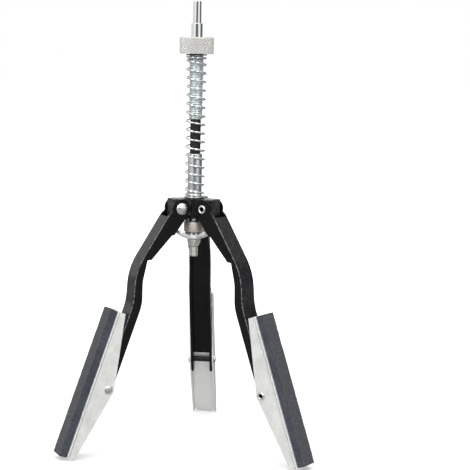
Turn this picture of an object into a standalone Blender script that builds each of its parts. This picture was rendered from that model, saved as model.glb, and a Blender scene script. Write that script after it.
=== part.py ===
"""Three-legged cylinder hone: abrasive stones on sprung legs, turned by a drill.

Metres, +Z up. The origin is the centre of the drive shank's top face, and Z is the
tool's axis. Heights written as "above the pins" are counted from the plane of the
three hub pins. Each leg is drawn in its own plane: X points away from the tool's
axis, Z up, and Y runs along the leg's pins.
"""
import math

import bmesh
import bpy
from mathutils import Matrix, Vector

MM = 0.001
GAP = 0.3 * MM                      # air between pieces that touch
LEG_ANGLES = [math.radians(a) for a in (90.0, 210.0, 330.0)]

# Shaft, from the top down. Heights are above the pins.
SHANK_TOP = 136.5 * MM
SHANK_STEP = 122.0 * MM
SHANK_TIP_RADIUS = 2.8 * MM
SHANK_RADIUS = 3.8 * MM
SLEEVE_TOP = 112.0 * MM
SLEEVE_RADIUS = 4.8 * MM
FLEX_TOP = 58.8 * MM
FLEX_BOTTOM = 36.4 * MM
FLEX_RADIUS = 3.65 * MM
NECK_RADIUS = 4.2 * MM
STUD_RADIUS = 2.6 * MM
BORE_RADIUS = SLEEVE_RADIUS + GAP
STUD_BORE_RADIUS = STUD_RADIUS + GAP

# Adjusting nut and spring
NUT_TOP = 113.0 * MM
NUT_BOTTOM = 102.2 * MM
NUT_RADIUS = 11.25 * MM
CAP_THICKNESS = 0.8 * MM
SEAT_THICKNESS = 0.9 * MM
SEAT_RADIUS = 6.9 * MM
SPRING_RADIUS = 6.2 * MM            # to the middle of the wire
WIRE_RADIUS = 0.62 * MM
SPRING_PITCH = 5.7 * MM
CLOSED_PITCH = 1.5 * MM
CLOSED_TURNS = 0.9
COIL_MARK_HEIGHT = 95.0 * MM        # here a coil points along COIL_MARK_ANGLE
COIL_MARK_ANGLE = math.radians(7.0)
POINTS_PER_TURN = 12

# Hub
HUB_TOP = 6.4 * MM
LUG_BOTTOM = -4.6 * MM
LUG_REACH = 17.5 * MM
LUG_HALF_WIDTH = 5.7 * MM
BOSS_RADIUS = 7.8 * MM
BOSS_BOTTOM = -6.8 * MM
PIN_REACH = 12.3 * MM               # hub pins, from the tool's axis

# Stack below the hub
NECK_BOTTOM = -9.0 * MM
COLLAR_TOP = -9.3 * MM
COLLAR_BOTTOM = -16.4 * MM
COLLAR_RADIUS = 6.9 * MM
TOOTH_COUNT = 12
TOOTH_THICKNESS = 1.8 * MM
PLATE_THICKNESS = 2.1 * MM
PLATE_FLAT_RADIUS = 5.5 * MM
PLATE_REACH = 13.2 * MM
PLATE_RISE = 4.1 * MM
PLATE_HALF_WIDTH = 5.2 * MM
PLATE_BODY_RADIUS = 8.0 * MM
CONE_NUT_BOTTOM = -26.0 * MM
HEX_TOP = -26.3 * MM
HEX_BOTTOM = -33.2 * MM
HEX_CORNER_RADIUS = 2.9 * MM

# Arm: a channel folded from sheet, its web on the outer side
ARM_WIDTH = 15.0 * MM
ARM_SHEET = 1.7 * MM
ARM_INNER_WIDTH = ARM_WIDTH - 2 * ARM_SHEET
EAR_RADIUS = 6.4 * MM
HUB_PIN_RADIUS = 2.2 * MM
WEB_TOP = Vector((9.5, -4.6)) * MM
ELBOW = Vector((32.0, -40.0)) * MM
KNEE = Vector((33.5, -61.8)) * MM
BEND_RADIUS = 40.0 * MM
INNER_KNEE = Vector((27.2, -62.7)) * MM
INNER_KNEE_RADIUS = 30.0 * MM
FLANGE_CORNER = Vector((20.9, -33.3)) * MM
FLANGE_STEP = 2.8 * MM
NOSE = Vector((5.0, -17.5)) * MM
NOSE_DEPTH = 1.5 * MM
LIP_REACH = 1.5 * MM                # the stop lip's end, from the hub pin
LIP_SHEET = 1.4 * MM
WEB_END = 4.6 * MM                  # the web stops this far above the shoe pin
FLANGE_HALF_DEPTH = 3.1 * MM
FLANGE_OVERRUN = 7.0 * MM           # the round end's centre, below the shoe pin

# Shoe and stone, drawn upright about the shoe pin and then tilted
SHOE_PIN = Vector((51.0, -118.0)) * MM
TILT = math.radians(20.2)
SHOE_SHEET = 0.9 * MM
SHOE_INNER_WIDTH = ARM_WIDTH + 0.5 * MM
SHOE_WIDTH = SHOE_INNER_WIDTH + 2 * SHOE_SHEET
SHOE_PIN_RADIUS = 1.9 * MM
APEX_RADIUS = 4.2 * MM
STONE_LENGTH = 101.6 * MM
STONE_WIDTH = 12.7 * MM
STONE_FACE = 16.4 * MM              # from the shoe pin's axis
STONE_THICKNESS = 5.25 * MM
BACKING_THICKNESS = 0.85 * MM
BACKING_WIDTH = 14.2 * MM
SHOE_END_DEPTH = 3.4 * MM
STOP_TAB_TOP = 42.8 * MM
STOP_TAB_SHEET = 1.5 * MM

PARTS = bpy.data.collections.new("three_leg_cylinder_hone")


def material(name, colour, roughness, metallic):
    """A Principled material with one colour."""
    mat = bpy.data.materials.new(name)
    mat.use_nodes = True
    shader = mat.node_tree.nodes["Principled BSDF"]
    shader.inputs["Base Color"].default_value = (*colour, 1.0)
    shader.inputs["Roughness"].default_value = roughness
    shader.inputs["Metallic"].default_value = metallic
    mat.diffuse_color = (*colour, 1.0)
    return mat


def add(name, mesh, mat, parent=None, location=(0, 0, 0), rotation=(0, 0, 0)):
    """Put a mesh into the parts collection as a node of its own."""
    obj = bpy.data.objects.new(name, mesh)
    obj.location = location
    obj.rotation_euler = rotation
    obj.parent = parent
    if not mesh.materials:
        mesh.materials.append(mat)
    PARTS.objects.link(obj)
    return obj


def pivot(name, location, rotation, parent=None):
    """An empty that carries a moving body, on its joint's axis."""
    empty = bpy.data.objects.new(name, None)
    empty.location = location
    empty.rotation_euler = rotation
    empty.parent = parent
    PARTS.objects.link(empty)
    return empty


def baked(obj, *helpers):
    """The evaluated mesh of an object; the object and its cutters are removed."""
    depsgraph = bpy.context.evaluated_depsgraph_get()
    mesh = bpy.data.meshes.new_from_object(obj.evaluated_get(depsgraph))
    mesh.transform(obj.matrix_world)
    shape = bmesh.new()
    shape.from_mesh(mesh)
    bmesh.ops.remove_doubles(shape, verts=shape.verts, dist=0.001 * MM)
    shape.to_mesh(mesh)
    shape.free()
    for item in (obj, *helpers):
        bpy.data.objects.remove(item)
    return mesh


def turned_mesh(profile, segments=32, ring=False):
    """Turn a profile of (radius, height) about Z; a ring's profile is a closed loop."""
    count = len(profile)
    edges = [(i, i + 1) for i in range(count - 1)]
    if ring:
        edges.append((count - 1, 0))
    outline = bpy.data.meshes.new("profile")
    outline.from_pydata([(r, 0.0, z) for r, z in profile], edges, [])
    obj = bpy.data.objects.new("turned", outline)
    bpy.context.scene.collection.objects.link(obj)
    screw = obj.modifiers.new("Turn", "SCREW")
    screw.steps = segments
    screw.render_steps = segments
    screw.use_merge_vertices = True
    screw.merge_threshold = 0.001 * MM
    mesh = baked(obj)
    mesh.shade_smooth()
    mesh.set_sharp_from_angle(angle=math.radians(35))
    return mesh


def ring_mesh(inner, outer, bottom, top, chamfer=0.0, segments=32):
    """A flat ring, its outer edges chamfered."""
    profile = [(inner, top), (outer - chamfer, top), (outer, top - chamfer)]
    profile += [(outer, bottom + chamfer), (outer - chamfer, bottom), (inner, bottom)]
    if chamfer == 0.0:
        profile = [(inner, top), (outer, top), (outer, bottom), (inner, bottom)]
    return turned_mesh(profile, segments, ring=True)


def prism(outlines, thickness, name="prism"):
    """A mesh object from flat outlines in X and Y, as thick as given along Z."""
    curve = bpy.data.curves.new(name, "CURVE")
    curve.dimensions = "2D"
    curve.fill_mode = "BOTH"
    curve.extrude = thickness / 2
    for outline in outlines:
        spline = curve.splines.new("POLY")
        spline.points.add(len(outline) - 1)
        for point, (x, y) in zip(spline.points, outline):
            point.co = (x, y, 0.0, 1.0)
        spline.use_cyclic_u = True
    obj = bpy.data.objects.new(name, curve)
    bpy.context.scene.collection.objects.link(obj)
    bpy.context.view_layer.update()
    mesh = baked(obj)
    solid = bpy.data.objects.new(name, mesh)
    bpy.context.scene.collection.objects.link(solid)
    return solid


def rod(radius, length, location=(0, 0, 0), along_y=False, segments=24):
    """A cylinder along Z, or along Y, for a hole or a boss."""
    mesh = bpy.data.meshes.new("rod")
    shape = bmesh.new()
    bmesh.ops.create_cone(shape, cap_ends=True, segments=segments,
                          radius1=radius, radius2=radius, depth=length)
    if along_y:
        shape.transform(Matrix.Rotation(math.pi / 2, 4, "X"))
    shape.transform(Matrix.Translation(location))
    shape.to_mesh(mesh)
    shape.free()
    obj = bpy.data.objects.new("rod", mesh)
    bpy.context.scene.collection.objects.link(obj)
    return obj


def combined(base, operation, tools):
    """Add one exact Boolean to the base for each tool, and bake the result."""
    for tool in tools:
        boolean = base.modifiers.new("Boolean", "BOOLEAN")
        boolean.operation = operation
        boolean.solver = "EXACT"
        boolean.object = tool
        tool.hide_render = True
        tool.display_type = "WIRE"
    bpy.context.view_layer.update()
    mesh = baked(base, *tools)
    obj = bpy.data.objects.new("combined", mesh)
    bpy.context.scene.collection.objects.link(obj)
    return obj


def node_mesh(obj):
    """Take the mesh of a finished shape, smooth where it is round."""
    mesh = obj.data
    bpy.data.objects.remove(obj)
    mesh.shade_smooth()
    mesh.set_sharp_from_angle(angle=math.radians(35))
    return mesh


def arc(centre, radius, start, end, steps):
    """Points on an arc between two angles, both ends included."""
    angles = [start + (end - start) * i / steps for i in range(steps + 1)]
    return [Vector((centre[0] + radius * math.cos(a), centre[1] + radius * math.sin(a)))
            for a in angles]


def rounded(corners, closed=False, step=math.radians(12)):
    """A path through (point, radius) corners, each rounded by an arc of its radius."""
    points = []
    count = len(corners)
    for i, (corner, radius) in enumerate(corners):
        at_end = not closed and i in (0, count - 1)
        if at_end or radius == 0.0:
            points.append(Vector(corner))
            continue
        before = (Vector(corners[i - 1][0]) - corner).normalized()
        after = (Vector(corners[(i + 1) % count][0]) - corner).normalized()
        half = before.angle(after) / 2
        middle = corner + (before + after).normalized() * (radius / math.sin(half))
        first = corner + before * (radius / math.tan(half)) - middle
        last = corner + after * (radius / math.tan(half)) - middle
        sweep = first.angle_signed(last)
        steps = max(2, math.ceil(abs(sweep) / step))
        turns = [Matrix.Rotation(-sweep * k / steps, 2) for k in range(steps + 1)]
        points += [middle + turn @ first for turn in turns]
    return points


def offset_path(path, distance):
    """Shift an open path of points sideways, mitred at its corners."""
    shifted = []
    for i, point in enumerate(path):
        sides = []
        if i > 0:
            sides.append((point - path[i - 1]).normalized())
        if i < len(path) - 1:
            sides.append((path[i + 1] - point).normalized())
        normals = [Vector((side.y, -side.x)) for side in sides]
        mitre = sum(normals, Vector((0.0, 0.0))).normalized()
        shifted.append(point + mitre * (distance / mitre.dot(normals[0])))
    return shifted


def point_at_height(start, end, height):
    """The point of a straight line at a height."""
    share = (height - start.y) / (end.y - start.y)
    return start.lerp(end, share)


def shaft_frame():
    """The shaft's pivot, on the axis at the height of the hub pins."""
    return pivot("shaft_pivot", (0, 0, -SHANK_TOP), (0, 0, 0))


def build_shaft(parent, steel, zinc, rubber_black):
    """The drive shank, both sleeves and the flexible length between them."""
    chamfer = 0.4 * MM
    shank_bottom = SLEEVE_TOP + GAP
    shank = [(0, SHANK_TOP), (SHANK_TIP_RADIUS - chamfer, SHANK_TOP),
             (SHANK_TIP_RADIUS, SHANK_TOP - chamfer), (SHANK_TIP_RADIUS, SHANK_STEP),
             (SHANK_RADIUS - chamfer, SHANK_STEP), (SHANK_RADIUS, SHANK_STEP - chamfer),
             (SHANK_RADIUS, shank_bottom), (0, shank_bottom)]
    add("drive_shank", turned_mesh(shank), steel, parent)
    sleeve_bottom = FLEX_TOP + GAP
    sleeve = [(0, SLEEVE_TOP), (SLEEVE_RADIUS - chamfer, SLEEVE_TOP),
              (SLEEVE_RADIUS, SLEEVE_TOP - chamfer), (SLEEVE_RADIUS, sleeve_bottom),
              (0, sleeve_bottom)]
    add("threaded_sleeve", turned_mesh(sleeve), zinc, parent)
    flex = [(0, FLEX_TOP), (FLEX_RADIUS, FLEX_TOP), (FLEX_RADIUS, FLEX_BOTTOM), (0, FLEX_BOTTOM)]
    add("flexible_shaft", turned_mesh(flex), rubber_black, parent)
    lower_top = FLEX_BOTTOM - GAP
    shoulder = BOSS_BOTTOM + GAP
    stud_bottom = HEX_TOP + GAP
    lower = [(0, lower_top), (SLEEVE_RADIUS, lower_top), (SLEEVE_RADIUS, shoulder),
             (NECK_RADIUS, shoulder), (NECK_RADIUS, NECK_BOTTOM), (STUD_RADIUS, NECK_BOTTOM),
             (STUD_RADIUS, stud_bottom), (0, stud_bottom)]
    add("lower_sleeve", turned_mesh(lower), zinc, parent)


def build_nut(parent, knurled):
    """The adjusting nut, with the spring's upper cap under it."""
    nut = ring_mesh(BORE_RADIUS, NUT_RADIUS, NUT_BOTTOM, NUT_TOP, 0.2 * MM, 48)
    add("adjusting_nut", nut, knurled, parent)
    cap_top = NUT_BOTTOM - GAP
    cap = ring_mesh(BORE_RADIUS, SEAT_RADIUS, cap_top - CAP_THICKNESS, cap_top)
    add("spring_cap", cap, knurled, parent)


def spring_points():
    """The wire's path, from its closed top turn to its closed bottom turn."""
    top = NUT_BOTTOM - 2 * GAP - CAP_THICKNESS - WIRE_RADIUS
    bottom = HUB_TOP + 2 * GAP + SEAT_THICKNESS + WIRE_RADIUS
    closed_drop = CLOSED_TURNS * CLOSED_PITCH
    open_turns = (top - bottom - 2 * closed_drop) / SPRING_PITCH
    turns = open_turns + 2 * CLOSED_TURNS
    marked_turn = CLOSED_TURNS + (top - closed_drop - COIL_MARK_HEIGHT) / SPRING_PITCH
    count = round(turns * POINTS_PER_TURN)
    points = []
    for i in range(count + 1):
        turn = turns * i / count
        closed = min(turn, CLOSED_TURNS) + max(turn - CLOSED_TURNS - open_turns, 0.0)
        height = top - closed * CLOSED_PITCH - (turn - closed) * SPRING_PITCH
        angle = COIL_MARK_ANGLE + 2 * math.pi * (turn - marked_turn)
        points.append((SPRING_RADIUS * math.cos(angle), SPRING_RADIUS * math.sin(angle), height))
    return points


def build_spring(parent, wire_steel, zinc):
    """The compression spring, and the washer it stands on."""
    curve = bpy.data.curves.new("spring", "CURVE")
    curve.dimensions = "3D"
    curve.bevel_depth = WIRE_RADIUS
    curve.bevel_resolution = 2
    curve.use_fill_caps = True
    points = spring_points()
    spline = curve.splines.new("POLY")
    spline.points.add(len(points) - 1)
    for point, position in zip(spline.points, points):
        point.co = (*position, 1.0)
    obj = bpy.data.objects.new("spring", curve)
    bpy.context.scene.collection.objects.link(obj)
    bpy.context.view_layer.update()
    mesh = baked(obj)
    mesh.shade_smooth()
    add("tension_spring", mesh, wire_steel, parent)
    seat_bottom = HUB_TOP + GAP
    seat = ring_mesh(BORE_RADIUS, SEAT_RADIUS, seat_bottom, seat_bottom + SEAT_THICKNESS)
    add("spring_seat", seat, zinc, parent)


def hub_outline():
    """Three square lugs about the axis, their outer corners rounded."""
    corners = []
    valley = LUG_HALF_WIDTH / math.sin(math.radians(60))
    for angle in LEG_ANGLES:
        turn = Matrix.Rotation(angle, 2)
        corners.append((turn @ Vector((LUG_REACH, -LUG_HALF_WIDTH)), 0.8 * MM))
        corners.append((turn @ Vector((LUG_REACH, LUG_HALF_WIDTH)), 0.8 * MM))
        corners.append((Matrix.Rotation(angle + math.radians(60), 2) @ Vector((valley, 0)), 0.0))
    return rounded(corners, closed=True, step=math.radians(30))


def build_hub(parent, black):
    """The hub: three lugs and a round boss, bored for the shaft and the leg pins."""
    lugs = prism([hub_outline()], HUB_TOP - LUG_BOTTOM)
    lugs.location.z = (HUB_TOP + LUG_BOTTOM) / 2
    boss_top = HUB_TOP - 0.4 * MM
    boss = rod(BOSS_RADIUS, boss_top - BOSS_BOTTOM, (0, 0, (boss_top + BOSS_BOTTOM) / 2),
               segments=36)
    body = combined(lugs, "UNION", [boss])
    holes = [rod(BORE_RADIUS, 30 * MM, segments=32)]
    for angle in LEG_ANGLES:
        hole = rod(HUB_PIN_RADIUS + GAP, 20 * MM, (PIN_REACH, 0, 0), along_y=True)
        hole.data.transform(Matrix.Rotation(angle, 4, "Z"))
        holes.append(hole)
    add("hub", node_mesh(combined(body, "DIFFERENCE", holes)), black, parent)


def rivet_mesh(shank, head, head_height, end, seat, hollow):
    """A rivet along Z: a domed head above, a rolled hollow end below."""
    dome = [(head * math.sin(a), seat + 0.3 * MM + head_height * math.cos(a))
            for a in [math.pi / 2 * i / 5 for i in range(6)]]
    dome[0] = (0.0, dome[0][1])
    end_height = 0.9 * MM
    shank_profile = [(head, seat), (shank, seat), (shank, -seat), (end, -seat),
                     (end, -seat - 0.5 * end_height),
                     ((end + hollow) / 2 + 0.2 * MM, -seat - end_height),
                     (hollow + 0.15 * MM, -seat - end_height), (hollow, -seat + 3 * MM),
                     (0.0, -seat + 3 * MM)]
    return turned_mesh(dome + shank_profile, 24)


def build_stack(parent, bronze, zinc, grey_steel):
    """Collar, toothed washer, expander plate, cone nut and the hexagonal end."""
    collar = ring_mesh(STUD_BORE_RADIUS, COLLAR_RADIUS, COLLAR_BOTTOM, COLLAR_TOP, 0.5 * MM)
    add("bush_collar", collar, bronze, parent)
    tooth_top = COLLAR_BOTTOM - GAP
    tooth_middle = tooth_top - TOOTH_THICKNESS / 2
    washer = prism([tooth_outline(), arc((0, 0), STUD_BORE_RADIUS, 0, 2 * math.pi * 23 / 24, 23)],
                   TOOTH_THICKNESS)
    mesh = node_mesh(washer)
    mesh.transform(Matrix.Translation((0, 0, tooth_middle)))
    add("tooth_washer", mesh, zinc, parent)
    plate_top = tooth_top - TOOTH_THICKNESS - GAP
    add("expander_plate", plate_mesh(plate_top), zinc, parent)
    nut_top = plate_top - PLATE_THICKNESS - GAP
    cone_top = 4.5 * MM
    nut = [(STUD_BORE_RADIUS, nut_top), (cone_top, nut_top), (cone_top, nut_top - 2.2 * MM),
           (3.2 * MM, CONE_NUT_BOTTOM), (STUD_BORE_RADIUS, CONE_NUT_BOTTOM)]
    add("cone_nut", turned_mesh(nut, 24, ring=True), grey_steel, parent)
    chamfer = 0.6 * MM
    hexagon = [(0, HEX_TOP), (HEX_CORNER_RADIUS, HEX_TOP), (HEX_CORNER_RADIUS, HEX_BOTTOM + chamfer),
               (HEX_CORNER_RADIUS - chamfer, HEX_BOTTOM), (0, HEX_BOTTOM)]
    mesh = turned_mesh(hexagon, 6)
    mesh.transform(Matrix.Rotation(COIL_MARK_ANGLE, 4, "Z"))
    add("hex_end", mesh, grey_steel, parent)


def tooth_outline():
    """The toothed washer's rim: square teeth with gaps between them."""
    root, tip = 4.9 * MM, 6.2 * MM
    pitch = 2 * math.pi / TOOTH_COUNT
    points = []
    for i in range(TOOTH_COUNT):
        start = i * pitch
        points += arc((0, 0), root, start, start + 0.44 * pitch, 1)
        points += arc((0, 0), tip, start + 0.52 * pitch, start + 0.92 * pitch, 1)
    return points


def plate_outline():
    """Three round-ended lobes about a round body."""
    points = []
    end_radius = 3.0 * MM
    for angle in LEG_ANGLES:
        turn = Matrix.Rotation(angle, 2)
        inner = math.sqrt(PLATE_BODY_RADIUS ** 2 - PLATE_HALF_WIDTH ** 2)
        corners = [(Vector((inner, -PLATE_HALF_WIDTH)), 0.0),
                   (Vector((PLATE_REACH, -PLATE_HALF_WIDTH)), end_radius),
                   (Vector((PLATE_REACH, PLATE_HALF_WIDTH)), end_radius),
                   (Vector((inner, PLATE_HALF_WIDTH)), 0.0)]
        points += [turn @ point for point in rounded(corners, step=math.radians(20))]
        edge = math.asin(PLATE_HALF_WIDTH / PLATE_BODY_RADIUS)
        next_start = math.radians(120) - edge
        points += arc((0, 0), PLATE_BODY_RADIUS, angle + edge, angle + next_start, 4)[1:-1]
    return points


def plate_mesh(top):
    """The expander plate: a dished disc cut to three lobes that rise to their tips."""
    dish_reach = PLATE_REACH + 2 * MM
    slope = [PLATE_FLAT_RADIUS + (dish_reach - PLATE_FLAT_RADIUS) * i / 5 for i in range(6)]
    rise = [PLATE_RISE * ((r - PLATE_FLAT_RADIUS) / (PLATE_REACH - PLATE_FLAT_RADIUS)) ** 1.3
            for r in slope]
    upper = [(0.0, top)] + [(r, top + z) for r, z in zip(slope, rise)]
    lower = [(r, z - PLATE_THICKNESS) for r, z in reversed(upper)]
    dish = bpy.data.objects.new("dish", turned_mesh(upper + lower, 48))
    bpy.context.scene.collection.objects.link(dish)
    lobes = prism([plate_outline()], 40 * MM)
    lobes.location.z = top
    cut = combined(dish, "INTERSECT", [lobes])
    bore = rod(STUD_BORE_RADIUS, 40 * MM, (0, 0, top))
    return node_mesh(combined(cut, "DIFFERENCE", [bore]))


def leg_vector(along, outward):
    """A step in the leg's plane: down along the tilted stone, and out from its face."""
    down = Vector((math.sin(TILT), -math.cos(TILT)))
    out = Vector((math.cos(TILT), math.sin(TILT)))
    return down * along + out * outward


def arm_outline():
    """The side view of the arm, about the hub pin."""
    end = SHOE_PIN + leg_vector(FLANGE_OVERRUN, 0)
    outer_end = end + leg_vector(0, FLANGE_HALF_DEPTH)
    inner_end = end - leg_vector(0, FLANGE_HALF_DEPTH)
    outer = rounded([(WEB_TOP, 0.0), (ELBOW, BEND_RADIUS), (KNEE, BEND_RADIUS), (outer_end, 0.0)],
                    step=math.radians(5))
    out_angle = math.atan2(math.sin(TILT), math.cos(TILT))
    round_end = arc(end, FLANGE_HALF_DEPTH, out_angle, out_angle - math.pi, 8)[1:-1]
    step_point = FLANGE_CORNER + Vector((FLANGE_STEP, 0))
    nose_base = NOSE + Vector((NOSE_DEPTH, 0))
    inner = rounded([(inner_end, 0.0), (INNER_KNEE, INNER_KNEE_RADIUS),
                     (Vector((27.0, -47.5)) * MM, 25 * MM), (step_point, 1.0 * MM),
                     (FLANGE_CORNER, 1.2 * MM), (nose_base, 0.0), (NOSE, 0.0)],
                    step=math.radians(6))
    reach = math.acos(EAR_RADIUS / NOSE.length)
    tangent = math.atan2(NOSE.y, NOSE.x) - reach
    ear = arc((0, 0), EAR_RADIUS, tangent, math.radians(-375), 14)
    return outer + round_end + inner + ear


def channel_outline():
    """The room inside the channel, open to the leg's inner side and at both ends."""
    web_bottom = SHOE_PIN + leg_vector(-WEB_END, FLANGE_HALF_DEPTH)
    path = offset_path([WEB_TOP, ELBOW, KNEE, web_bottom], ARM_SHEET)
    lip_top = LUG_BOTTOM - GAP
    lip_bottom = lip_top - LIP_SHEET
    start = point_at_height(path[0], path[1], lip_bottom)
    web = rounded([(start, 0.0), (path[1], BEND_RADIUS), (path[2], BEND_RADIUS), (path[3], 0.0)],
                  step=math.radians(5))
    far = 60 * MM
    beyond = path[3] + leg_vector(0, 10 * MM)
    above = [Vector((-far, far)), Vector((far, far)), Vector((far, lip_top))]
    lip = [Vector((LIP_REACH, lip_top)), Vector((LIP_REACH, lip_bottom))]
    below = [beyond, beyond + leg_vector(far, 0), Vector((-far, SHOE_PIN.y - far))]
    return above + lip + web + below


def in_leg_plane(obj):
    """Stand a prism drawn in X and Y upright in X and Z."""
    obj.data.transform(Matrix.Rotation(math.pi / 2, 4, "X"))
    return obj


def arm_mesh():
    """The folded arm, with its stop lip under the hub lug and its pin holes."""
    blank = in_leg_plane(prism([arm_outline()], ARM_WIDTH))
    channel = in_leg_plane(prism([channel_outline()], ARM_INNER_WIDTH))
    hub_hole = rod(HUB_PIN_RADIUS + GAP, 40 * MM, along_y=True)
    shoe_hole = rod(SHOE_PIN_RADIUS + GAP, 40 * MM, (SHOE_PIN.x, 0, SHOE_PIN.y), along_y=True)
    return node_mesh(combined(blank, "DIFFERENCE", [channel, hub_hole, shoe_hole]))


def shoe_mesh():
    """The folded shoe, upright about its pin: a base, two pointed cheeks and a stop tab."""
    half = STONE_LENGTH / 2
    base_outer = STONE_FACE - STONE_THICKNESS - BACKING_THICKNESS - 2 * GAP
    base_inner = base_outer - SHOE_SHEET
    end_depth = base_outer - SHOE_END_DEPTH
    corner = Vector((end_depth, half))
    tangent = math.atan2(corner.y, corner.x) + math.acos(APEX_RADIUS / corner.length)
    apex = arc((0, 0), APEX_RADIUS, tangent, 2 * math.pi - tangent, 8)
    outline = [Vector((base_outer, half)), corner] + apex
    outline += [Vector((end_depth, -half)), Vector((base_outer, -half))]
    blank = in_leg_plane(prism([outline], SHOE_WIDTH))
    tab_reach = FLANGE_HALF_DEPTH + GAP
    tab_bottom = STOP_TAB_TOP - STOP_TAB_SHEET
    far = 80 * MM
    room = [(base_inner, far), (base_inner, STOP_TAB_TOP), (tab_reach, STOP_TAB_TOP),
            (tab_reach, tab_bottom), (base_inner, tab_bottom), (base_inner, -far),
            (-far, -far), (-far, far)]
    inside = in_leg_plane(prism([room], SHOE_INNER_WIDTH))
    hole = rod(SHOE_PIN_RADIUS + GAP, 40 * MM, along_y=True)
    return node_mesh(combined(blank, "DIFFERENCE", [inside, hole]))


def bar_mesh(outer_face, thickness, width):
    """A flat bar as long as the stone, its outer face at a distance from the pin."""
    mesh = bpy.data.meshes.new("bar")
    shape = bmesh.new()
    bmesh.ops.create_cube(shape, size=1.0)
    shape.transform(Matrix.Diagonal((thickness, width, STONE_LENGTH, 1.0)))
    shape.transform(Matrix.Translation((outer_face - thickness / 2, 0, 0)))
    shape.to_mesh(mesh)
    shape.free()
    return mesh


def build_legs(shaft, black, zinc, bright, stone_grey, backing_zinc):
    """Three legs: hub pin, arm, and the shoe with its pin, backing plate and stone."""
    hub_rivet = rivet_mesh(HUB_PIN_RADIUS, 4.0 * MM, 1.7 * MM, 2.95 * MM,
                           ARM_WIDTH / 2 + GAP, 1.4 * MM)
    shoe_rivet = rivet_mesh(SHOE_PIN_RADIUS, 2.7 * MM, 0.7 * MM, 2.6 * MM,
                            SHOE_WIDTH / 2 + GAP, 1.2 * MM)
    arm = arm_mesh()
    shoe = shoe_mesh()
    stone = bar_mesh(STONE_FACE, STONE_THICKNESS, STONE_WIDTH)
    backing_face = STONE_FACE - STONE_THICKNESS - GAP
    backing = bar_mesh(backing_face, BACKING_THICKNESS, BACKING_WIDTH)
    along_pins = (-math.pi / 2, 0, 0)
    for number, angle in enumerate(LEG_ANGLES, start=1):
        place = Matrix.Rotation(angle, 3, "Z") @ Vector((PIN_REACH, 0, 0))
        arm_pivot = pivot(f"arm_{number}_pivot", place, (0, 0, angle), shaft)
        shoe_pivot = pivot(f"shoe_{number}_pivot", (SHOE_PIN.x, 0, SHOE_PIN.y),
                           (0, -TILT, 0), arm_pivot)
        add(f"hub_pin_{number}", hub_rivet, bright, arm_pivot, rotation=along_pins)
        add(f"arm_{number}", arm, black, arm_pivot)
        add(f"stone_shoe_{number}", shoe, zinc, shoe_pivot)
        add(f"shoe_pin_{number}", shoe_rivet, bright, shoe_pivot, rotation=along_pins)
        add(f"stone_backing_{number}", backing, backing_zinc, shoe_pivot)
        add(f"stone_{number}", stone, stone_grey, shoe_pivot)


def main():
    for obj in list(bpy.data.objects):
        bpy.data.objects.remove(obj)
    bpy.context.scene.collection.children.link(PARTS)
    steel = material("polished_steel", (0.72, 0.73, 0.75), 0.18, 1.0)
    zinc = material("zinc_plate", (0.66, 0.69, 0.70), 0.35, 1.0)
    knurled = material("satin_steel", (0.70, 0.69, 0.67), 0.45, 1.0)
    bright = material("bright_rivet", (0.80, 0.81, 0.82), 0.22, 1.0)
    grey_steel = material("grey_steel", (0.52, 0.53, 0.51), 0.40, 1.0)
    bronze = material("sintered_bronze", (0.55, 0.46, 0.42), 0.45, 0.8)
    black = material("black_paint", (0.02, 0.02, 0.022), 0.35, 0.0)
    flex_black = material("black_flexible_shaft", (0.012, 0.012, 0.012), 0.5, 0.0)
    shoe_zinc = material("matt_zinc", (0.62, 0.63, 0.61), 0.5, 0.9)
    stone_grey = material("abrasive_stone", (0.10, 0.105, 0.12), 0.95, 0.0)
    backing_zinc = material("backing_plate", (0.66, 0.68, 0.69), 0.35, 0.9)
    shaft = shaft_frame()
    build_shaft(shaft, steel, zinc, flex_black)
    build_nut(shaft, knurled)
    build_spring(shaft, steel, zinc)
    build_hub(shaft, black)
    build_stack(shaft, bronze, zinc, grey_steel)
    build_legs(shaft, black, shoe_zinc, bright, stone_grey, backing_zinc)


main()
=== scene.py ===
"""Looks for the three-legged cylinder hone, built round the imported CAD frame.

Metres, +Z up, in the CAD's own frame. A leg piece is drawn in its leg's plane: X points
out from the hub pin, Y runs along the leg's pins and Z is up. A shoe piece is drawn
upright about the shoe pin and then tilted.
"""
import math

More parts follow.
